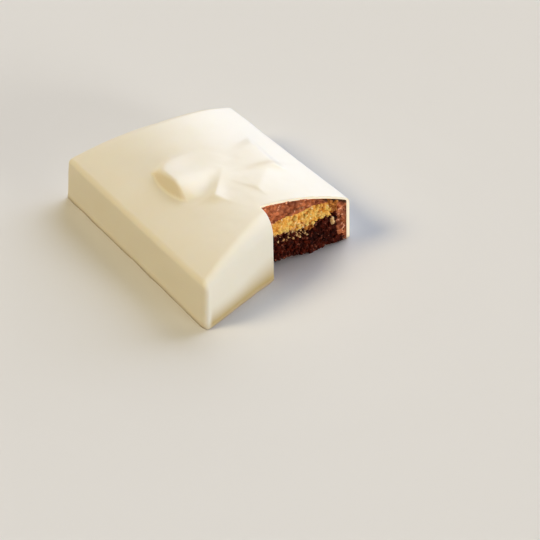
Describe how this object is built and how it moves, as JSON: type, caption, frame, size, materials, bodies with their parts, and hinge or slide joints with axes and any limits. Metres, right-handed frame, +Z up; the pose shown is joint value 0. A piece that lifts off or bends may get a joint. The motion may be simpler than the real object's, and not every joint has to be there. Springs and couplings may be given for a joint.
{
  "type": "entremet",
  "caption": "Glazed layered mousse cake shaped as a domed rectangular parcel with a moulded bow, one corner cut away to show mousse, crunchy insert and brownie",
  "frame": {"origin": "middle of the footprint's bounding box, on the floor", "axes": "+Z up; +Y along the length, from the recessed end with the cut corner to the whole end; +X across, with the cut corner on the +X side"},
  "size_m": [0.1342, 0.1782, 0.0507],
  "materials": {
    "glaze": "satin ivory white velvet glaze",
    "mousse": "set milk chocolate mousse, torn where it is cut",
    "crunch": "golden flaky crunchy layer",
    "brownie": "dark moist crumb"
  },
  "bodies": {
    "root": {"glaze": "glaze", "mousse": "mousse", "crunch_insert": "crunch", "brownie_base": "brownie"}
  },
  "joints": []
}
